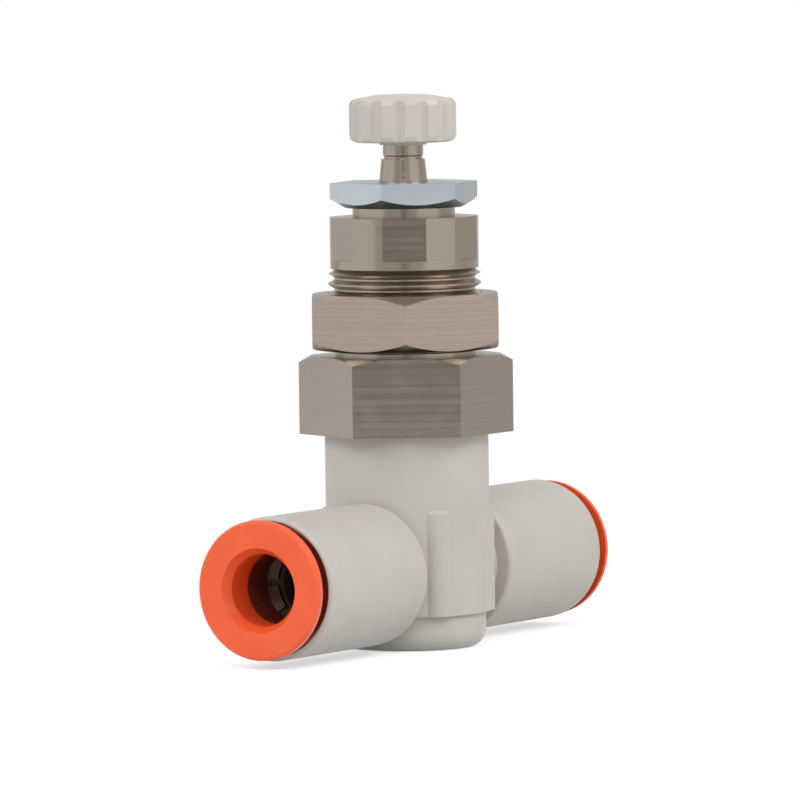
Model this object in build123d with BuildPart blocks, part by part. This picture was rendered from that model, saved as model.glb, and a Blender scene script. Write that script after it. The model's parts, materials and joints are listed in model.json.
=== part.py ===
from build123d import *
from math import cos, radians, tan
import os

os.makedirs("parts", exist_ok=True)

# Flow control valve: two push-in tube ports in line, with the needle standing over them.
# Millimetres. Origin under the foot on the needle axis, +X along the run, +Z up.

# clearances
RUN_FIT = 0.05  # radial play of pieces that turn or slide
SET_FIT = 0.02  # radial play of pieces that are set and stay

# body
RUN_Z = 7.15
PORT_R = 6.5
PORT_IN = 7.7
PORT_END = 25.05
WEB_R = 5.1
BLOCK_X = 10.9
BLOCK_Y = 13.4
BLOCK_LOW = 3.25
BLOCK_TOP = 12.95
BLOCK_ROUND = 1.6
BARREL_R = 7.5
NECK_TOP = 19.65
FOOT_R = 7.1
FOOT_ROUND = 1.6
EDGE_ROUND = 0.4

# body bores
NECK_BORE_R = 6.0
NECK_FLOOR = 13.3
CHAMBER_R = 4.7
CHAMBER_FLOOR = 2.0
PASSAGE_R = 1.3
PASSAGE_Z = {"left": 5.2, "right": 9.1}

# tube port, distances measured outward from the needle axis
TUBE_BORE_R = 3.275
TUBE_STOP = 10.2
SEAL_IN = 12.6
SEAL_R = 5.0
CASE_IN = 16.4
CASE_R = 5.6
CHUCK_AT = 18.5
CHUCK_T = 0.3
CHUCK_SLITS = 8
CHUCK_SLIT_W = 0.6
GUIDE_OUT = 23.9
MOUTH_STEP = 24.0
MOUTH_STEP_R = 6.15
GUIDE_LIP = 21.5
GUIDE_R = 4.65
GUIDE_POCKET_R = 5.15
COLLET_TIP = 19.9
COLLET_R = 3.87
COLLET_OUT = 23.3
BARB_R = 5.0
BUTTON_FACE = 27.0
BUTTON_BACK = 26.3
BUTTON_R = 6.3
BUTTON_ROUND = 0.25
MOUTH_R = 3.83
MOUTH_DEPTH = 0.9

# bonnet
HEX_AF = 17.0
HEX_TOP = 26.8
HEX_BITE = -0.3
THREAD_R = 7.0
THREAD_PITCH = 1.0
THREAD_DEPTH = 0.55
THREAD_LAND = 0.16
THREAD_LOW = 27.3
THREAD_TURNS = 7
THREAD_TOP = 35.6
RING_LOW = 34.8
HEAD_R = 6.8
HEAD_AF = 13.0
HEAD_TOP = 39.5
COLLAR_R = 4.7
COLLAR_TOP = 40.35
SPIGOT_LOW = 13.5
NOSE_R = 3.7
NOSE_LOW = 3.6
NOSE_BORE_R = 2.75
BONNET_SHOULDER = 31.0
CUP_LOW = 6.55
CUP_HIGH = 7.75
CUP_GROOVE_R = 3.2
WINDOW_R = 0.9
WINDOW_Z = 9.3
SPIGOT_RING_LOW = 15.4
SPIGOT_RING_HIGH = 17.2
SPIGOT_GROOVE_R = 4.6

# needle, at rest fully open
TRAVEL = 3.1
STEM_THREAD_R = 2.2
STEM_PITCH = 0.5
STEM_DEPTH = 0.16
STEM_LAND = 0.1
STEM_TURNS = 21
STEM_LOW = 32.0
STEM_TAPER_LOW = 42.8
STEM_TOP = 44.75
STEM_TOP_R = 2.0
SPINDLE_R = 1.85
SPINDLE_TOP = 49.4
GUIDE_SHOULDER = 30.9
SHANK_LOW = 15.0
STEM_RING_LOW = 19.0
STEM_RING_HIGH = 20.8
STEM_GROOVE_R = 1.95
TIP_R = 1.75
SEAT_R = 1.5
SEAT_HIGH = 6.2
SEAT_CONE = 0.6
SEAT_CONE_R = 1.9

# nuts and knob
PANEL_NUT_LOW = 27.4
PANEL_NUT_HIGH = 32.5
LOCK_AF = 12.0
LOCK_BITE = 0.6
LOCK_NUT_HIGH = 42.65
KNOB_LOW = 46.3
KNOB_TOP = 50.7
KNOB_R = 4.9
KNOB_DOME = 0.45
KNOB_ROUND = 0.6
KNOB_FLUTES = 14
FLUTE_R = 0.75
FLUTE_AT = 5.32
KNOB_HUB_R = 2.15

SIDES = {"left": -1, "right": 1}
CHAMFER_SLOPE = tan(radians(30))


def corner_r(across_flats):
    return across_flats / 2 / cos(radians(30))


def outline(plane, *points, rounding=0):
    """A closed polygon through the points of a plane. The rounding is for its two outermost corners."""
    with BuildSketch(plane) as drawn:
        with BuildLine():
            Polyline(*points, close=True)
        make_face()
        if rounding:
            fillet(drawn.vertices().sort_by(Axis.Y)[-2:], rounding)
    return drawn.sketch


def port_plane(side):
    """Local x runs outward along the run, local y is the radius."""
    sign = SIDES[side]
    return Plane(origin=(0, 0, RUN_Z), x_dir=(sign, 0, 0), z_dir=(0, -sign, 0))


def port_axis(side):
    return Axis((0, 0, RUN_Z), (SIDES[side], 0, 0))


def ribbed(radius, pitch, depth, land, low, turns):
    """Points up a wall that carries a thread as rings, one to a turn."""
    points = []
    for turn in range(turns):
        z = low + turn * pitch
        flank = (pitch - 2 * land) / 2
        points += [(radius, z), (radius, z + land)]
        points += [(radius - depth, z + land + flank), (radius - depth, z + land + flank + land)]
    points.append((radius, low + turns * pitch))
    return points


def nut_envelope(across_flats, low, high, cut_low, cut_high, bite=0.1):
    """A turned shape that takes the corners off a hexagon at its chamfered ends. Bite is how far it cuts the flats."""
    flat = across_flats / 2 - bite
    corner = corner_r(across_flats) + 0.1
    drop = (corner - flat) * CHAMFER_SLOPE
    points = [(0, low), (flat if cut_low else corner, low)]
    if cut_low:
        points.append((corner, low + drop))
    if cut_high:
        points += [(corner, high - drop), (flat, high)]
    else:
        points.append((corner, high))
    points.append((0, high))
    return outline(Plane.XZ, *points)


# ---- body and bonnet
with BuildPart() as valve_body:
    with BuildSketch(Plane.YZ):
        with Locations((0, RUN_Z)):
            Circle(WEB_R)
    extrude(amount=PORT_IN + 1, both=True)
    with BuildSketch(Plane.XY.offset(BLOCK_LOW)):
        RectangleRounded(BLOCK_X, BLOCK_Y, BLOCK_ROUND)
    extrude(amount=BLOCK_TOP - BLOCK_LOW)
    fillet(valve_body.faces().sort_by(Axis.Z)[-1].edges(), EDGE_ROUND)
    with BuildSketch(Plane.XY.offset(BLOCK_LOW)):
        Circle(BARREL_R)
    extrude(amount=NECK_TOP - BLOCK_LOW)
    with BuildSketch(Plane.XY):
        Circle(FOOT_R)
    extrude(amount=RUN_Z)
    fillet(valve_body.faces().sort_by(Axis.Z)[0].edges(), FOOT_ROUND)
    for side in SIDES:
        housing = outline(
            port_plane(side),
            (PORT_IN, 0),
            (PORT_IN, PORT_R),
            (PORT_END, PORT_R),
            (PORT_END, 0),
            rounding=EDGE_ROUND,
        )
        revolve(housing, axis=port_axis(side))
    bore = outline(
        Plane.XZ,
        (0, CHAMBER_FLOOR),
        (CHAMBER_R, CHAMBER_FLOOR),
        (CHAMBER_R, NECK_FLOOR),
        (NECK_BORE_R, NECK_FLOOR),
        (NECK_BORE_R, NECK_TOP),
        (0, NECK_TOP),
    )
    revolve(bore, axis=Axis.Z, mode=Mode.SUBTRACT)
    for side in SIDES:
        port_bore = outline(
            port_plane(side),
            (TUBE_STOP, 0),
            (TUBE_STOP, TUBE_BORE_R),
            (SEAL_IN, TUBE_BORE_R),
            (SEAL_IN, SEAL_R),
            (CASE_IN, SEAL_R),
            (CASE_IN, CASE_R),
            (MOUTH_STEP, CASE_R),
            (MOUTH_STEP, MOUTH_STEP_R),
            (PORT_END, MOUTH_STEP_R),
            (PORT_END, 0),
        )
        revolve(port_bore, axis=port_axis(side), mode=Mode.SUBTRACT)
        with BuildSketch(Plane.YZ.offset(SIDES[side] * CHAMBER_R / 2)):
            with Locations((0, PASSAGE_Z[side])):
                Circle(PASSAGE_R)
        extrude(amount=SIDES[side] * (TUBE_STOP - CHAMBER_R / 2 + 0.5), mode=Mode.SUBTRACT)
valve_body.part.label = "valve_body"
export_step(valve_body.part, "parts/valve_body.step")

with BuildPart() as bonnet:
    with BuildSketch(Plane.XY.offset(NECK_TOP)):
        RegularPolygon(HEX_AF / 2, 6, major_radius=False)
    extrude(amount=HEX_TOP - NECK_TOP)
    revolve(nut_envelope(HEX_AF, NECK_TOP, HEX_TOP, False, True, HEX_BITE), axis=Axis.Z, mode=Mode.INTERSECT)
    threads = ribbed(THREAD_R, THREAD_PITCH, THREAD_DEPTH, THREAD_LAND, THREAD_LOW, THREAD_TURNS)
    stem = outline(
        Plane.XZ,
        (0, HEX_TOP - 1),
        (THREAD_R - THREAD_DEPTH, HEX_TOP - 1),
        (THREAD_R - THREAD_DEPTH, THREAD_LOW - THREAD_LAND),
        *threads,
        (THREAD_R - THREAD_DEPTH, RING_LOW - THREAD_LAND),
        (HEAD_R, RING_LOW),
        (HEAD_R, THREAD_TOP),
        (0, THREAD_TOP),
    )
    revolve(stem, axis=Axis.Z)
    with BuildSketch(Plane.XY.offset(THREAD_TOP)):
        Circle(HEAD_R)
        RegularPolygon(HEAD_AF / 2, 6, major_radius=False, mode=Mode.INTERSECT)
    extrude(amount=HEAD_TOP - THREAD_TOP)
    with BuildSketch(Plane.XY.offset(HEAD_TOP)):
        Circle(COLLAR_R)
    extrude(amount=COLLAR_TOP - HEAD_TOP)
    spigot_r = NECK_BORE_R - SET_FIT
    tail = outline(
        Plane.XZ,
        (0, NECK_TOP),
        (spigot_r, NECK_TOP),
        (spigot_r, SPIGOT_RING_HIGH),
        (SPIGOT_GROOVE_R, SPIGOT_RING_HIGH),
        (SPIGOT_GROOVE_R, SPIGOT_RING_LOW),
        (spigot_r, SPIGOT_RING_LOW),
        (spigot_r, SPIGOT_LOW),
        (NOSE_R, SPIGOT_LOW),
        (NOSE_R, CUP_HIGH),
        (CUP_GROOVE_R, CUP_HIGH),
        (CUP_GROOVE_R, CUP_LOW),
        (NOSE_R, CUP_LOW),
        (NOSE_R, NOSE_LOW),
        (0, NOSE_LOW),
    )
    revolve(tail, axis=Axis.Z)
    hollow = outline(
        Plane.XZ,
        (0, NOSE_LOW),
        (NOSE_BORE_R, NOSE_LOW),
        (NOSE_BORE_R, BONNET_SHOULDER),
        (STEM_THREAD_R + RUN_FIT, BONNET_SHOULDER),
        (STEM_THREAD_R + RUN_FIT, COLLAR_TOP),
        (0, COLLAR_TOP),
    )
    revolve(hollow, axis=Axis.Z, mode=Mode.SUBTRACT)
    for cross in (Plane.XZ, Plane.YZ):
        with BuildSketch(cross):
            with Locations((0, WINDOW_Z)):
                Circle(WINDOW_R)
        extrude(amount=NOSE_R + 1, both=True, mode=Mode.SUBTRACT)
bonnet.part.label = "bonnet"
export_step(bonnet.part, "parts/bonnet.step")

with BuildPart() as seat_ring:
    seat = outline(
        Plane.XZ,
        (SEAT_R, NOSE_LOW),
        (NOSE_BORE_R, NOSE_LOW),
        (NOSE_BORE_R, SEAT_HIGH),
        (SEAT_CONE_R, SEAT_HIGH),
        (SEAT_R, SEAT_HIGH - SEAT_CONE),
    )
    revolve(seat, axis=Axis.Z)
seat_ring.part.label = "seat_ring"
export_step(seat_ring.part, "parts/seat_ring.step")

with BuildPart() as check_seal:
    # a cup seal: the heel sits in the groove and the lip leans up to the chamber wall
    lip_r = CHAMBER_R - SET_FIT
    cup = outline(
        Plane.XZ,
        (CUP_GROOVE_R + SET_FIT, CUP_LOW + SET_FIT),
        (NOSE_R + 0.15, CUP_LOW + SET_FIT),
        (NOSE_R + 0.45, CUP_LOW + 0.35),
        (lip_r, CUP_HIGH + 0.25),
        (lip_r, CUP_HIGH + 0.45),
        (lip_r - 0.3, CUP_HIGH + 0.45),
        (NOSE_R + 0.15, CUP_LOW + 0.85),
        (NOSE_R + 0.05, CUP_HIGH - SET_FIT),
        (CUP_GROOVE_R + SET_FIT, CUP_HIGH - SET_FIT),
    )
    revolve(cup, axis=Axis.Z)
check_seal.part.label = "check_seal"
export_step(check_seal.part, "parts/check_seal.step")

with BuildPart() as bonnet_o_ring:
    ring_half = (NECK_BORE_R - SPIGOT_GROOVE_R) / 2
    with BuildSketch(Plane.XZ):
        with Locations((SPIGOT_GROOVE_R + ring_half, (SPIGOT_RING_LOW + SPIGOT_RING_HIGH) / 2)):
            Circle(ring_half - SET_FIT)
    revolve(axis=Axis.Z)
bonnet_o_ring.part.label = "bonnet_o_ring"
export_step(bonnet_o_ring.part, "parts/bonnet_o_ring.step")

# ---- needle, its ring, knob and nuts
with BuildPart() as needle:
    shank_r = NOSE_BORE_R - RUN_FIT
    cone_top = SEAT_HIGH - 0.15 + TRAVEL
    cone_low = SEAT_HIGH - SEAT_CONE - 0.05 + TRAVEL
    stem_threads = ribbed(STEM_THREAD_R, STEM_PITCH, STEM_DEPTH, STEM_LAND, STEM_LOW, STEM_TURNS)
    rod = outline(
        Plane.XZ,
        (0, cone_low - 2.6),
        (0.6, cone_low - 2.6),
        (SEAT_R - 0.08, cone_low),
        (TIP_R, cone_top),
        (TIP_R, SHANK_LOW - 0.6),
        (shank_r, SHANK_LOW),
        (shank_r, STEM_RING_LOW),
        (STEM_GROOVE_R, STEM_RING_LOW),
        (STEM_GROOVE_R, STEM_RING_HIGH),
        (shank_r, STEM_RING_HIGH),
        (shank_r, GUIDE_SHOULDER - 0.3),
        (shank_r - 0.3, GUIDE_SHOULDER),
        (STEM_THREAD_R - STEM_DEPTH, GUIDE_SHOULDER),
        (STEM_THREAD_R - STEM_DEPTH, STEM_LOW - STEM_LAND),
        *stem_threads,
        (STEM_THREAD_R, STEM_TAPER_LOW),
        (STEM_TOP_R, STEM_TOP),
        (SPINDLE_R - 0.1, STEM_TOP + 0.05),
        (SPINDLE_R - 0.1, STEM_TOP + 0.25),
        (SPINDLE_R, STEM_TOP + 0.35),
        (SPINDLE_R, SPINDLE_TOP),
        (0, SPINDLE_TOP),
    )
    revolve(rod, axis=Axis.Z)
needle.part.label = "needle"
export_step(needle.part, "parts/needle.step")

with BuildPart() as needle_o_ring:
    gland = (NOSE_BORE_R - STEM_GROOVE_R) / 2
    with BuildSketch(Plane.XZ):
        with Locations((STEM_GROOVE_R + gland, (STEM_RING_LOW + STEM_RING_HIGH) / 2)):
            Circle(gland - SET_FIT)
    revolve(axis=Axis.Z)
needle_o_ring.part.label = "needle_o_ring"
export_step(needle_o_ring.part, "parts/needle_o_ring.step")

with BuildPart() as adjusting_knob:
    with BuildSketch(Plane.XY.offset(KNOB_LOW)):
        Circle(KNOB_R)
        with PolarLocations(FLUTE_AT, KNOB_FLUTES):
            Circle(FLUTE_R, mode=Mode.SUBTRACT)
    extrude(amount=KNOB_TOP - KNOB_LOW)
    crown = outline(
        Plane.XZ,
        (0, KNOB_LOW),
        (KNOB_R - KNOB_ROUND, KNOB_LOW),
        (KNOB_R - 0.15, KNOB_LOW + 0.2),
        (KNOB_R, KNOB_LOW + KNOB_ROUND),
        (KNOB_R, KNOB_TOP - KNOB_DOME - 0.5),
        (KNOB_R - 0.12, KNOB_TOP - KNOB_DOME - 0.2),
        (KNOB_R - 0.4, KNOB_TOP - KNOB_DOME),
        (KNOB_R / 2, KNOB_TOP - 0.1),
        (0, KNOB_TOP),
    )
    revolve(crown, axis=Axis.Z, mode=Mode.INTERSECT)
    with BuildSketch(Plane.XY.offset(KNOB_LOW - 0.25)):
        Circle(KNOB_HUB_R)
    extrude(amount=1)
    with BuildSketch(Plane.XY.offset(KNOB_LOW - 0.25)):
        Circle(SPINDLE_R)
    extrude(amount=SPINDLE_TOP - KNOB_LOW + 0.25, mode=Mode.SUBTRACT)
adjusting_knob.part.label = "adjusting_knob"
export_step(adjusting_knob.part, "parts/adjusting_knob.step")

with BuildPart() as lock_nut:
    with BuildSketch(Plane.XY.offset(COLLAR_TOP)):
        RegularPolygon(LOCK_AF / 2, 6, major_radius=False, rotation=12.5)
        Circle(STEM_THREAD_R + RUN_FIT, mode=Mode.SUBTRACT)
    extrude(amount=LOCK_NUT_HIGH - COLLAR_TOP)
    envelope = nut_envelope(LOCK_AF, COLLAR_TOP, LOCK_NUT_HIGH, True, False, LOCK_BITE)
    revolve(envelope, axis=Axis.Z, mode=Mode.INTERSECT)
lock_nut.part.label = "lock_nut"
export_step(lock_nut.part, "parts/lock_nut.step")

with BuildPart() as panel_nut:
    with BuildSketch(Plane.XY.offset(PANEL_NUT_LOW)):
        RegularPolygon(HEX_AF / 2, 6, major_radius=False, rotation=30)
        Circle(THREAD_R + RUN_FIT, mode=Mode.SUBTRACT)
    extrude(amount=PANEL_NUT_HIGH - PANEL_NUT_LOW)
    envelope = nut_envelope(HEX_AF, PANEL_NUT_LOW, PANEL_NUT_HIGH, True, True)
    revolve(envelope, axis=Axis.Z, mode=Mode.INTERSECT)
panel_nut.part.label = "panel_nut"
export_step(panel_nut.part, "parts/panel_nut.step")

# ---- the two tube ports
for side in SIDES:
    plane = port_plane(side)
    axis = port_axis(side)

    with BuildPart() as tube_seal:
        seal = outline(
            plane,
            (SEAL_IN + SET_FIT, TUBE_BORE_R + 0.5),
            (SEAL_IN + 0.3, TUBE_BORE_R),
            (SEAL_IN + 0.7, TUBE_BORE_R),
            (SEAL_IN + 1.3, TUBE_BORE_R + 0.35),
            (CASE_IN - 1.2, TUBE_BORE_R + 0.35),
            (CASE_IN - 0.9, TUBE_BORE_R),
            (CASE_IN - 0.6, TUBE_BORE_R),
            (CASE_IN - 0.45, TUBE_BORE_R + 0.3),
            (CASE_IN - 0.45, SEAL_R - SET_FIT),
            (SEAL_IN + SET_FIT, SEAL_R - SET_FIT),
        )
        revolve(seal, axis=axis)
    tube_seal.part.label = f"tube_seal_{side}"
    export_step(tube_seal.part, f"parts/tube_seal_{side}.step")

    with BuildPart() as spacer_ring:
        spacer = outline(
            plane,
            (CASE_IN - 0.4, TUBE_BORE_R),
            (CHUCK_AT - 1.45, TUBE_BORE_R),
            (CHUCK_AT - 1.35, TUBE_BORE_R + 0.1),
            (CHUCK_AT - SET_FIT, CASE_R - 0.7),
            (CHUCK_AT - SET_FIT, CASE_R - SET_FIT),
            (CASE_IN + SET_FIT, CASE_R - SET_FIT),
            (CASE_IN + SET_FIT, SEAL_R - SET_FIT),
            (CASE_IN - 0.4, SEAL_R - SET_FIT),
        )
        revolve(spacer, axis=axis)
    spacer_ring.part.label = f"spacer_ring_{side}"
    export_step(spacer_ring.part, f"parts/spacer_ring_{side}.step")

    with BuildPart() as chuck:
        grip = outline(
            plane,
            (CHUCK_AT, CASE_R - SET_FIT),
            (CHUCK_AT, CASE_R - 0.75),
            (CHUCK_AT - 0.95, TUBE_BORE_R + 0.02),
            (CHUCK_AT - 0.6, TUBE_BORE_R + 0.02),
            (CHUCK_AT + CHUCK_T, CASE_R - 0.8),
            (CHUCK_AT + CHUCK_T, CASE_R - SET_FIT),
        )
        revolve(grip, axis=axis)
        with BuildSketch(Plane(plane.origin + plane.x_dir * (CHUCK_AT - 2), z_dir=plane.x_dir)):
            with PolarLocations(CASE_R / 2, CHUCK_SLITS):
                Rectangle(CASE_R - 1.5, CHUCK_SLIT_W)
        extrude(amount=3, mode=Mode.SUBTRACT)
    chuck.part.label = f"chuck_{side}"
    export_step(chuck.part, f"parts/chuck_{side}.step")

    with BuildPart() as guide:
        sleeve = outline(
            plane,
            (CHUCK_AT + CHUCK_T + SET_FIT, CASE_R - SET_FIT),
            (CHUCK_AT + CHUCK_T + SET_FIT, GUIDE_POCKET_R),
            (GUIDE_LIP, GUIDE_POCKET_R),
            (GUIDE_LIP, GUIDE_R),
            (GUIDE_OUT, GUIDE_R),
            (GUIDE_OUT, CASE_R - SET_FIT),
        )
        revolve(sleeve, axis=axis)
    guide.part.label = f"guide_{side}"
    export_step(guide.part, f"parts/guide_{side}.step")

    with BuildPart() as collet:
        barb = outline(
            plane,
            (COLLET_TIP, TUBE_BORE_R),
            (COLLET_OUT, TUBE_BORE_R),
            (COLLET_OUT, COLLET_R - SET_FIT),
            (GUIDE_LIP + 0.5, COLLET_R - SET_FIT),
            (GUIDE_LIP + 0.5, GUIDE_R - RUN_FIT),
            (GUIDE_LIP - RUN_FIT, GUIDE_R - RUN_FIT),
            (GUIDE_LIP - RUN_FIT, BARB_R),
            (GUIDE_LIP - 0.85, BARB_R),
            (COLLET_TIP, TUBE_BORE_R + 0.6),
        )
        revolve(barb, axis=axis)
    collet.part.label = f"collet_{side}"
    export_step(collet.part, f"parts/collet_{side}.step")

    with BuildPart() as release_button:
        with BuildSketch(plane):
            with BuildLine():
                Polyline(
                    (GUIDE_LIP + 0.55, COLLET_R),
                    (COLLET_OUT + SET_FIT, COLLET_R),
                    (COLLET_OUT + SET_FIT, TUBE_BORE_R),
                    (BUTTON_FACE - MOUTH_DEPTH, TUBE_BORE_R),
                    (BUTTON_FACE, MOUTH_R),
                    (BUTTON_FACE, BUTTON_R - BUTTON_ROUND),
                    (BUTTON_FACE - BUTTON_ROUND, BUTTON_R),
                    (BUTTON_BACK, BUTTON_R),
                    (BUTTON_BACK, GUIDE_R - RUN_FIT),
                    (GUIDE_LIP + 0.55, GUIDE_R - RUN_FIT),
                    close=True,
                )
            make_face()
        revolve(axis=axis)
    release_button.part.label = f"release_button_{side}"
    export_step(release_button.part, f"parts/release_button_{side}.step")
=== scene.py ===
import json
import math

import bpy
from mathutils import Matrix, Vector

MM = 0.001
CAMERA_SIDE = -60  # the camera's azimuth to the nearest degree, which the room and the cards go by

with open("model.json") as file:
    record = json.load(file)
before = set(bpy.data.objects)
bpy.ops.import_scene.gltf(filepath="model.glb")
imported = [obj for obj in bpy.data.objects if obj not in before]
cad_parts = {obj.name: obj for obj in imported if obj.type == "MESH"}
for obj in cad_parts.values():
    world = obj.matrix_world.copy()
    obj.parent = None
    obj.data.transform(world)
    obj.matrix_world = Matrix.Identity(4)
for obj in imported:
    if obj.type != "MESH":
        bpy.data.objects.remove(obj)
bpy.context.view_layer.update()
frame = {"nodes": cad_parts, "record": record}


# ---------------------------------------------------------------- camera
def look(distance, azimuth, height, pitch, yaw, roll, lens):
    """A camera on the photograph's side of the part. Angles are in degrees and lengths in metres."""
    a = math.radians(azimuth)
    place = Vector((math.sin(a) * distance, -math.cos(a) * distance, height))
    heading = a - math.radians(yaw)
    down = math.radians(pitch)
    flat = math.cos(down)
    forward = Vector((-math.sin(heading) * flat, math.cos(heading) * flat, -math.sin(down)))
    right = forward.cross(Vector((0, 0, 1))).normalized()
    up = right.cross(forward)
    lean = math.radians(roll)
    top = up * math.cos(lean) + right * math.sin(lean)
    side = right * math.cos(lean) - up * math.sin(lean)
    turn = Matrix((side, top, -forward)).transposed().to_4x4()
    data = bpy.data.cameras.new("camera")
    data.lens = lens
    data.sensor_width = 36
    data.clip_start = 0.01
    data.clip_end = 50
    camera = bpy.data.objects.new("camera", data)
    camera.matrix_world = Matrix.Translation(place) @ turn
    bpy.context.scene.collection.objects.link(camera)
    bpy.context.scene.camera = camera


look(distance=0.853, azimuth=-60.15, height=0.07525, pitch=3.53, yaw=-0.038, roll=0.73, lens=419.5)


# ---------------------------------------------------------------- materials
NOISE_LOW = 0.3  # a noise value seldom leaves the span from here
NOISE_HIGH = 0.7  # to here
GLOSS_MM = 1.5
WAVE_MM = 2.5
MARK_MM = 2.2
RUBBER_GRAIN_MM = 0.25


class Nodes:
    """A small helper that adds nodes to one material or world."""

    def __init__(self, tree):
        self.tree = tree

    def add(self, kind, **values):
        node = self.tree.nodes.new(kind)
        for key, value in values.items():
            setattr(node, key, value)
        return node

    def wire(self, source, target):
        self.tree.links.new(source, target)

    def math(self, operation, a, b=None):
        node = self.add("ShaderNodeMath", operation=operation)
        for index, value in enumerate((a, b)):
            if value is None:
                continue
            if isinstance(value, (int, float)):
                node.inputs[index].default_value = value
            else:
                self.wire(value, node.inputs[index])
        return node.outputs[0]

    def weighted(self, a, by_a, b, by_b):
        """a times by_a, plus b times by_b."""
        return self.math("ADD", self.math("MULTIPLY", a, by_a), self.math("MULTIPLY", b, by_b))

    def noise(self, vector, scale, detail=2.0, roughness=0.5, dimensions="3D"):
        node = self.add("ShaderNodeTexNoise", noise_dimensions=dimensions)
        node.inputs["Scale"].default_value = scale
        node.inputs["Detail"].default_value = detail
        node.inputs["Roughness"].default_value = roughness
        self.wire(vector, node.inputs["W" if dimensions == "1D" else "Vector"])
        return node.outputs["Fac"]

    def span(self, value, low, high, out_low, out_high):
        node = self.add("ShaderNodeMapRange")
        for index, number in enumerate((low, high, out_low, out_high)):
            node.inputs[index + 1].default_value = number
        self.wire(value, node.inputs[0])
        return node.outputs[0]

    def spread(self, noise, out_low, out_high):
        """A noise value, stretched from its usual span to another."""
        return self.span(noise, NOISE_LOW, NOISE_HIGH, out_low, out_high)

    def blend(self, factor, first, second):
        node = self.add("ShaderNodeMix", data_type="RGBA")
        for index, value in ((0, factor), (6, first), (7, second)):
            if isinstance(value, tuple):
                node.inputs[index].default_value = (*value, 1)
            elif isinstance(value, (int, float)):
                node.inputs[index].default_value = value
            else:
                self.wire(value, node.inputs[index])
        return node.outputs[2]

    def bump(self, height, strength, distance, under=None):
        node = self.add("ShaderNodeBump")
        node.inputs["Strength"].default_value = strength
        node.inputs["Distance"].default_value = distance
        self.wire(height, node.inputs["Height"])
        if under is not None:
            self.wire(under, node.inputs["Normal"])
        return node.outputs[0]


def linear(red, green, blue):
    """An eight-bit screen colour as scene-linear values."""
    out = []
    for value in (red, green, blue):
        share = value / 255
        out.append(share / 12.92 if share <= 0.04045 else ((share + 0.055) / 1.055) ** 2.4)
    return tuple(out)


def start(name, colour, roughness, metallic=0.0):
    made = bpy.data.materials.new(name)
    made.use_nodes = True
    nodes = Nodes(made.node_tree)
    shader = made.node_tree.nodes["Principled BSDF"]
    shader.inputs["Base Color"].default_value = (*colour, 1)
    shader.inputs["Roughness"].default_value = roughness
    shader.inputs["Metallic"].default_value = metallic
    where = nodes.add("ShaderNodeTexCoord").outputs["Object"]
    return made, nodes, shader, where


def plastic(name, colour, shade, roughness, grain_mm, grain_depth, blotch_mm):
    """Moulded plastic: a fine sparked texture, faint flow marks and uneven gloss."""
    colour, shade = linear(*colour), linear(*shade)
    made, nodes, shader, where = start(name, colour, roughness)
    flow = nodes.noise(where, 1 / (blotch_mm * MM), 3)
    tint = nodes.spread(flow, 0, 1)
    nodes.wire(nodes.blend(tint, colour, shade), shader.inputs["Base Color"])
    gloss = nodes.noise(where, 1 / (GLOSS_MM * MM), 4)
    nodes.wire(nodes.spread(gloss, roughness - 0.06, roughness + 0.06), shader.inputs["Roughness"])
    grain = nodes.noise(where, 1 / (grain_mm * MM), 3, 0.6)
    waves = nodes.noise(where, 1 / (WAVE_MM * MM), 1)
    low = nodes.bump(waves, 0.15, 0.02 * MM)
    nodes.wire(nodes.bump(grain, 0.5, grain_depth * MM, low), shader.inputs["Normal"])
    return made


def turned_metal(name, colour, dark, roughness, line_mm, line_depth, streak, blotches):
    """Plated metal off a lathe: rings round the needle's axis, streaks of gloss and a few dull marks."""
    colour, dark = linear(*colour), linear(*dark)
    made, nodes, shader, where = start(name, colour, roughness, 1.0)
    parts = nodes.add("ShaderNodeSeparateXYZ")
    nodes.wire(where, parts.inputs[0])
    x, y, z = parts.outputs
    out = nodes.math("SQRT", nodes.weighted(x, x, y, y))
    facing = nodes.add("ShaderNodeSeparateXYZ")
    nodes.wire(nodes.add("ShaderNodeNewGeometry").outputs["Normal"], facing.inputs[0])
    level = nodes.math("GREATER_THAN", nodes.math("ABSOLUTE", facing.outputs[2]), 0.3)
    along = nodes.math("ADD", z, nodes.math("MULTIPLY", level, out))
    lines = nodes.noise(along, 1 / (line_mm * MM), 3, 0.7, "1D")
    bands = nodes.noise(along, 1 / (line_mm * 6 * MM), 2, 0.5, "1D")
    marks = nodes.noise(where, 1 / (MARK_MM * MM), 4, 0.6)
    stains = nodes.span(marks, 0.5, 0.75, 0, blotches)
    lined = nodes.spread(lines, 0, streak)
    tone = nodes.blend(lined, colour, dark)
    nodes.wire(nodes.blend(stains, tone, dark), shader.inputs["Base Color"])
    gloss = nodes.spread(bands, roughness - 0.02, roughness + 0.03)
    rough = nodes.math("ADD", gloss, nodes.math("MULTIPLY", stains, 0.3))
    nodes.wire(rough, shader.inputs["Roughness"])
    nodes.wire(nodes.bump(lines, 0.6, line_depth * MM), shader.inputs["Normal"])
    return made


def rubber(name):
    made, nodes, shader, where = start(name, linear(30, 30, 31), 0.62)
    grain = nodes.noise(where, 1 / (RUBBER_GRAIN_MM * MM), 3)
    nodes.wire(nodes.spread(grain, 0.55, 0.75), shader.inputs["Roughness"])
    nodes.wire(nodes.bump(grain, 0.4, 0.01 * MM), shader.inputs["Normal"])
    return made


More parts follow.
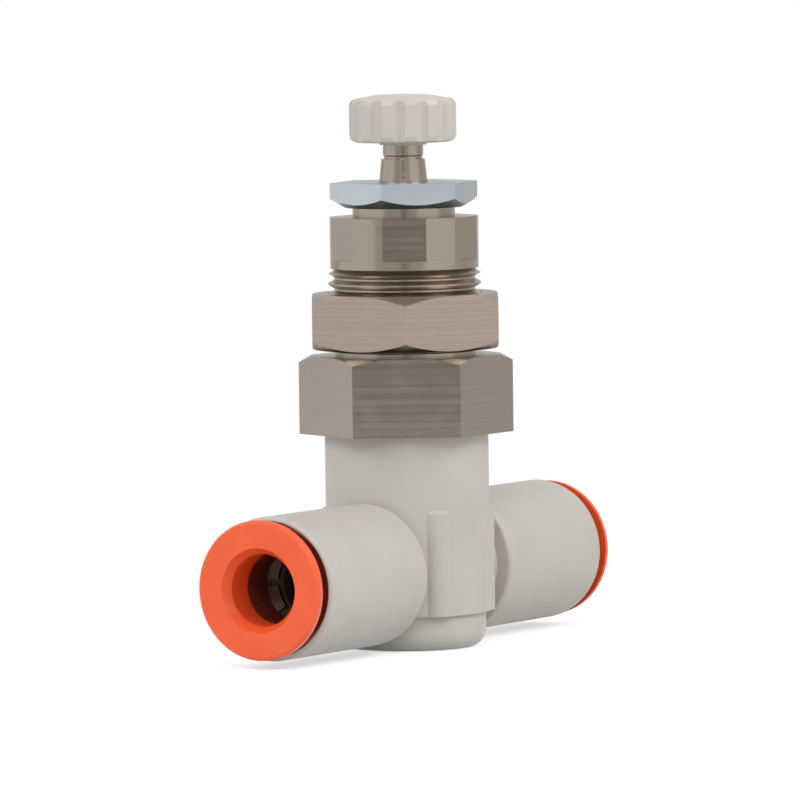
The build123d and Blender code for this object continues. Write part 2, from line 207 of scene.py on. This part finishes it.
# colour, second colour, roughness, grain and its depth in mm, size of the flow marks in mm
PLASTICS = {
    "body_plastic": ((194, 190, 183), (188, 184, 177), 0.46, 0.12, 0.006, 6.0),
    "knob_plastic": ((200, 195, 188), (192, 187, 179), 0.42, 0.1, 0.004, 3.0),
    "button_plastic": ((246, 98, 48), (240, 90, 42), 0.36, 0.1, 0.003, 3.0),
    # the collet's dark red-brown is painted shade: the shade deep inside the port's bore, put into the
    # part's own colour
    "collet_plastic": ((118, 52, 36), (100, 46, 34), 0.42, 0.1, 0.003, 3.0),
    "ring_plastic": ((120, 118, 114), (110, 108, 104), 0.5, 0.1, 0.004, 3.0),
}
# colour, dark colour, roughness, turning lines and their depth in mm, share of dark in lines and in marks
METALS = {
    "plated_brass": ((166, 155, 143), (142, 127, 114), 0.2, 0.09, 0.0012, 0.3, 0.15),
    "plated_nut": ((172, 159, 147), (139, 124, 112), 0.27, 0.14, 0.003, 0.6, 0.2),
    "zinc_nut": ((186, 196, 202), (166, 177, 184), 0.32, 0.1, 0.003, 0.4, 0.25),
    "guide_metal": ((120, 100, 84), (90, 76, 64), 0.4, 0.1, 0.004, 0.5, 0.25),
    "spring_steel": ((84, 70, 62), (66, 56, 50), 0.4, 0.1, 0.002, 0.5, 0.25),
}
looks = {name: plastic(name, *values) for name, values in PLASTICS.items()}
looks.update((name, turned_metal(name, *values)) for name, values in METALS.items())
looks["seal_rubber"] = rubber("seal_rubber")
for entry in frame["record"]["subparts"]:
    node = frame["nodes"][entry["node"]]
    node.data.materials.clear()
    node.data.materials.append(looks[entry["material_slot"]])


# ---------------------------------------------------------------- floor, background and light
FLOOR_R = 0.16
FLOOR_SIDES = 120
PAPER_GREY = 0.7
PAPER_GLOW = 0.55


def paper_disc(name, radius, place):
    """The pale floor the part stands on, as one round sheet."""
    mesh = bpy.data.meshes.new(name)
    turns = [math.radians(360 // FLOOR_SIDES * step) for step in range(FLOOR_SIDES)]
    rim = [(radius * math.cos(turn), radius * math.sin(turn), 0) for turn in turns]
    mesh.from_pydata(rim, [], [tuple(range(FLOOR_SIDES))])
    made = bpy.data.objects.new(name, mesh)
    made.location = place
    bpy.context.scene.collection.objects.link(made)
    return made


def floor_material():
    """White paper: white to the camera and in metal, and darker only where the part's shadow falls."""
    made = bpy.data.materials.new("floor_paper")
    made.use_nodes = True
    nodes = Nodes(made.node_tree)
    made.node_tree.nodes.clear()
    paper = nodes.add("ShaderNodeBsdfDiffuse")
    paper.inputs["Color"].default_value = (PAPER_GREY, PAPER_GREY, PAPER_GREY, 1)
    glow = nodes.add("ShaderNodeEmission")
    glow.inputs["Color"].default_value = (1, 1, 1, 1)
    path = nodes.add("ShaderNodeLightPath")
    seen = nodes.math("MAXIMUM", path.outputs["Is Camera Ray"], path.outputs["Is Glossy Ray"])
    seen = nodes.math("MAXIMUM", seen, path.outputs["Is Transmission Ray"])
    nodes.wire(nodes.math("MULTIPLY", seen, PAPER_GLOW), glow.inputs["Strength"])
    both = nodes.add("ShaderNodeAddShader")
    nodes.wire(paper.outputs[0], both.inputs[0])
    nodes.wire(glow.outputs[0], both.inputs[1])
    end = nodes.add("ShaderNodeOutputMaterial")
    nodes.wire(both.outputs[0], end.inputs["Surface"])
    return made


floor = paper_disc("floor", FLOOR_R, (0, 0, 0))
floor.data.materials.append(floor_material())

# what lights dull surfaces from all round: (degrees right of the camera, brightness)
ROOM = (
    (-180, 0.45),
    (-130, 0.48),
    (-85, 0.62),
    (-50, 0.55),
    (-26, 0.38),
    (-8, 0.42),
    (-4, 0.06),
    (4, 0.06),
    (8, 0.42),
    (24, 0.42),
    (42, 1.00),
    (62, 0.80),
    (84, 0.42),
    (110, 0.36),
    (150, 0.42),
    (180, 0.45),
)
ROOM_TOP = 1.4  # the ramp holds shares of this
ROOM_TINT = (1, 0.985, 0.96)
CEILING = 0.62
CEILING_FADE = (0.35, 0.9)
GROUND = 1.05
GROUND_FADE = (-0.15, -0.5)


def studio():
    """White to the camera, in metal and through glass; dull surfaces are lit unevenly, as in a room."""
    world = bpy.data.worlds.new("studio")
    world.use_nodes = True
    bpy.context.scene.world = world
    nodes = Nodes(world.node_tree)
    world.node_tree.nodes.clear()
    parts = nodes.add("ShaderNodeSeparateXYZ")
    nodes.wire(nodes.add("ShaderNodeTexCoord").outputs["Generated"], parts.inputs[0])
    x, y, z = parts.outputs
    a = math.radians(CAMERA_SIDE)
    near = nodes.weighted(x, math.sin(a), y, -math.cos(a))
    right = nodes.weighted(x, math.cos(a), y, math.sin(a))
    turn = nodes.span(nodes.math("ARCTAN2", right, near), -math.pi, math.pi, 0, 1)
    ramp = nodes.add("ShaderNodeValToRGB")
    ramp.color_ramp.interpolation = "EASE"
    stops = ramp.color_ramp.elements
    while len(stops) > 1:
        stops.remove(stops[0])
    for index, (angle, level) in enumerate(ROOM):
        stop = stops[0] if index == 0 else stops.new((angle + 180) / 360)
        stop.position = (angle + 180) / 360
        share = level / ROOM_TOP
        stop.color = (share, share, share, 1)
    nodes.wire(turn, ramp.inputs[0])
    high = nodes.span(z, *CEILING_FADE, 0, 1)
    wall = nodes.math("MULTIPLY", ramp.outputs[0], ROOM_TOP)
    low = nodes.span(z, *GROUND_FADE, 0, 1)
    ends = nodes.weighted(high, CEILING, low, GROUND)
    between = nodes.math("SUBTRACT", nodes.math("SUBTRACT", 1, high), low)
    level = nodes.math("ADD", nodes.math("MULTIPLY", wall, between), ends)
    room = nodes.add("ShaderNodeBackground")
    nodes.wire(level, room.inputs["Strength"])
    white = nodes.add("ShaderNodeBackground")
    white.inputs["Color"].default_value = (1, 1, 1, 1)
    room.inputs["Color"].default_value = (*ROOM_TINT, 1)
    path = nodes.add("ShaderNodeLightPath")
    choose = nodes.add("ShaderNodeMixShader")
    seen = nodes.math("MAXIMUM", path.outputs["Is Camera Ray"], path.outputs["Is Glossy Ray"])
    nodes.wire(nodes.math("MAXIMUM", seen, path.outputs["Is Transmission Ray"]), choose.inputs[0])
    nodes.wire(room.outputs[0], choose.inputs[1])
    nodes.wire(white.outputs[0], choose.inputs[2])
    end = nodes.add("ShaderNodeOutputWorld")
    nodes.wire(choose.outputs[0], end.inputs["Surface"])


studio()

CARD_AWAY = 1.2
CARD_LOW = -14
CARD_HIGH = 32
CARD_STEPS = 24


def card(name, first, last, grey, away=CARD_AWAY):
    """A grey card that only gloss and metal see, from first to last in degrees right of the camera."""
    points = []
    for step in range(CARD_STEPS + 1):
        a = math.radians(CAMERA_SIDE + first + (last - first) * step / CARD_STEPS)
        for lift in (CARD_LOW, CARD_HIGH):
            points.append((math.sin(a) * away, -math.cos(a) * away, math.tan(math.radians(lift)) * away))
    mesh = bpy.data.meshes.new(name)
    faces = [(2 * step, 2 * step + 2, 2 * step + 3, 2 * step + 1) for step in range(CARD_STEPS)]
    mesh.from_pydata(points, [], faces)
    made = bpy.data.objects.new(name, mesh)
    bpy.context.scene.collection.objects.link(made)
    paint = bpy.data.materials.new(name)
    paint.use_nodes = True
    nodes = Nodes(paint.node_tree)
    paint.node_tree.nodes.clear()
    glow = nodes.add("ShaderNodeEmission")
    glow.inputs["Color"].default_value = (*(grey * part for part in ROOM_TINT), 1)
    nodes.wire(glow.outputs[0], nodes.add("ShaderNodeOutputMaterial").inputs["Surface"])
    mesh.materials.append(paint)
    made.visible_camera = False
    made.visible_diffuse = False
    made.visible_shadow = False
    made.visible_transmission = False


card("card_front", -46, 30, 0.64)
card("card_camera", -5, 5, 0.3, CARD_AWAY - 0.1)
card("card_back", 86, 238, 0.68)

LAMP_TARGET = Vector((0, 0, 0.025))


def softbox(name, azimuth, elevation, distance, width, height, watts):
    a, e = math.radians(azimuth), math.radians(elevation)
    outward = Vector((math.sin(a) * math.cos(e), -math.cos(a) * math.cos(e), math.sin(e)))
    place = LAMP_TARGET + outward * distance
    data = bpy.data.lights.new(name, "AREA")
    data.shape = "RECTANGLE"
    data.size = width
    data.size_y = height
    data.energy = watts
    lamp = bpy.data.objects.new(name, data)
    lamp.location = place
    lamp.rotation_euler = (LAMP_TARGET - place).to_track_quat("-Z", "Y").to_euler()
    bpy.context.scene.collection.objects.link(lamp)


softbox("lamp_left", -125, 38, 0.6, 0.3, 0.3, 1.1)
softbox("lamp_right", 5, 36, 0.6, 0.3, 0.3, 1.35)
softbox("lamp_front", -60, 30, 0.7, 0.3, 0.2, 0.9)

bpy.context.scene.view_settings.view_transform = "Standard"
